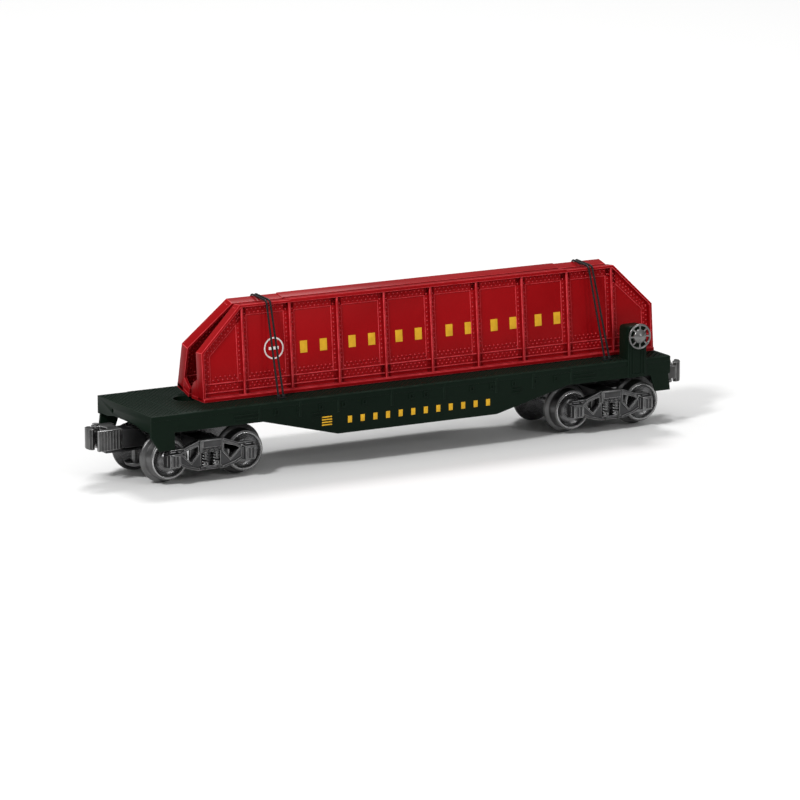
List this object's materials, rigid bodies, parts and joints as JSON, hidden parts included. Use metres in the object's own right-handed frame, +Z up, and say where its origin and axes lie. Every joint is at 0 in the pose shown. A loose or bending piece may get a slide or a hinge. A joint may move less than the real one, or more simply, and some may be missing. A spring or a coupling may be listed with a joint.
{
  "type": "model flat car with girder load",
  "caption": "O gauge model flat car with a fish-belly side sill, swivelling sprung trucks, knuckle couplers, a brake wheel and a strapped pair of plate girders.",
  "frame": {"origin": "under the middle of the whole car's box, at the height of the flange bottoms; the car's own middle is 1.2 mm towards -X and 2.1 mm towards +Y of it, because the +X knuckle stands open and the brake wheel stands out on the -Y side", "axes": "+X along the car towards the brake-stand end, +Y away from the brake-wheel side, +Z up"},
  "size_m": [0.3218, 0.0608, 0.0812],
  "materials": {
    "body_plastic": "dark green satin moulding",
    "girder_plastic": "red moulding, slightly glossy",
    "wheel_metal": "darkened cast metal with a bright turned rim",
    "truck_metal": "black-grey die casting",
    "coupler_metal": "bare grey casting",
    "brake_metal": "grey casting",
    "steel": "plain steel",
    "band_elastic": "black elastic cord"
  },
  "bodies": {
    "car": {"body_moulding": "body_plastic", "weight_plate": "steel", "girder_near": "girder_plastic", "girder_far": "girder_plastic", "pivot_screw_left": "steel", "pivot_nut_left": "steel", "pivot_screw_right": "steel", "pivot_nut_right": "steel", "tie_band_left_1": "band_elastic", "tie_band_left_2": "band_elastic", "band_hook_left_near": "body_plastic", "band_hook_left_far": "body_plastic", "tie_band_right_1": "band_elastic", "tie_band_right_2": "band_elastic", "band_hook_right_near": "body_plastic", "band_hook_right_far": "body_plastic"},
    "brake": {"brake_wheel": "brake_metal", "brake_shaft": "steel"},
    "truck_left": {"truck_frame_left": "truck_metal", "coupler_head_left": "coupler_metal", "knuckle_pin_left": "steel", "side_frame_left_a": "truck_metal", "spring_left_a1": "steel", "spring_left_a2": "steel", "side_frame_left_b": "truck_metal", "spring_left_b1": "steel", "spring_left_b2": "steel"},
    "wheelset_left_outer": {"axle_left_outer": "steel", "wheel_left_outer_a": "wheel_metal", "wheel_left_outer_b": "wheel_metal"},
    "wheelset_left_inner": {"axle_left_inner": "steel", "wheel_left_inner_a": "wheel_metal", "wheel_left_inner_b": "wheel_metal"},
    "knuckle_left": {"knuckle_left": "coupler_metal"},
    "armature_left": {"armature_left": "truck_metal", "armature_tack_left": "steel"},
    "truck_right": {"truck_frame_right": "truck_metal", "coupler_head_right": "coupler_metal", "knuckle_pin_right": "steel", "side_frame_right_a": "truck_metal", "spring_right_a1": "steel", "spring_right_a2": "steel", "side_frame_right_b": "truck_metal", "spring_right_b1": "steel", "spring_right_b2": "steel"},
    "wheelset_right_outer": {"axle_right_outer": "steel", "wheel_right_outer_a": "wheel_metal", "wheel_right_outer_b": "wheel_metal"},
    "wheelset_right_inner": {"axle_right_inner": "steel", "wheel_right_inner_a": "wheel_metal", "wheel_right_inner_b": "wheel_metal"},
    "knuckle_right": {"knuckle_right": "coupler_metal"},
    "armature_right": {"armature_right": "truck_metal", "armature_tack_right": "steel"}
  },
  "joints": [
    {"name": "brake_wheel_turn", "type": "hinge", "parent": "car", "child": "brake", "pos_m": [0.1208, -0.02788, 0.04662], "axis": [0, 1, 0], "continuous": true},
    {"name": "truck_left_swivel", "type": "hinge", "parent": "car", "child": "truck_left", "pos_m": [-0.11045, 0.00213, 0.02022], "axis": [0, 0, 1], "range_deg": [-9, 9]},
    {"name": "wheelset_left_outer_roll", "type": "hinge", "parent": "truck_left", "child": "wheelset_left_outer", "pos_m": [-0.1301, 0.00213, 0.01195], "axis": [0, 1, 0], "continuous": true},
    {"name": "wheelset_left_inner_roll", "type": "hinge", "parent": "truck_left", "child": "wheelset_left_inner", "pos_m": [-0.0908, 0.00213, 0.01195], "axis": [0, 1, 0], "continuous": true},
    {"name": "knuckle_left_open", "type": "hinge", "parent": "truck_left", "child": "knuckle_left", "pos_m": [-0.15425, 0.00873, 0.02062], "axis": [0, 0, -1], "range_deg": [0, 30]},
    {"name": "armature_left_drop", "type": "hinge", "parent": "truck_left", "child": "armature_left", "pos_m": [-0.15365, 0.00213, 0.01442], "axis": [0, 1, 0], "range_deg": [0, 7], "stiffness_Nm_per_rad": 0.002, "springref_deg": -8.59},
    {"name": "truck_right_swivel", "type": "hinge", "parent": "car", "child": "truck_right", "pos_m": [0.10805, 0.00213, 0.02022], "axis": [0, 0, 1], "range_deg": [-9, 9]},
    {"name": "wheelset_right_outer_roll", "type": "hinge", "parent": "truck_right", "child": "wheelset_right_outer", "pos_m": [0.1277, 0.00213, 0.01195], "axis": [0, 1, 0], "continuous": true},
    {"name": "wheelset_right_inner_roll", "type": "hinge", "parent": "truck_right", "child": "wheelset_right_inner", "pos_m": [0.0884, 0.00213, 0.01195], "axis": [0, 1, 0], "continuous": true},
    {"name": "knuckle_right_open", "type": "hinge", "parent": "truck_right", "child": "knuckle_right", "pos_m": [0.15235, -0.00447, 0.02142], "axis": [0, 0, -1], "range_deg": [-25, 5]},
    {"name": "armature_right_drop", "type": "hinge", "parent": "truck_right", "child": "armature_right", "pos_m": [0.15125, 0.00213, 0.01442], "axis": [0, -1, 0], "range_deg": [0, 7], "stiffness_Nm_per_rad": 0.002, "springref_deg": -8.59}
  ]
}
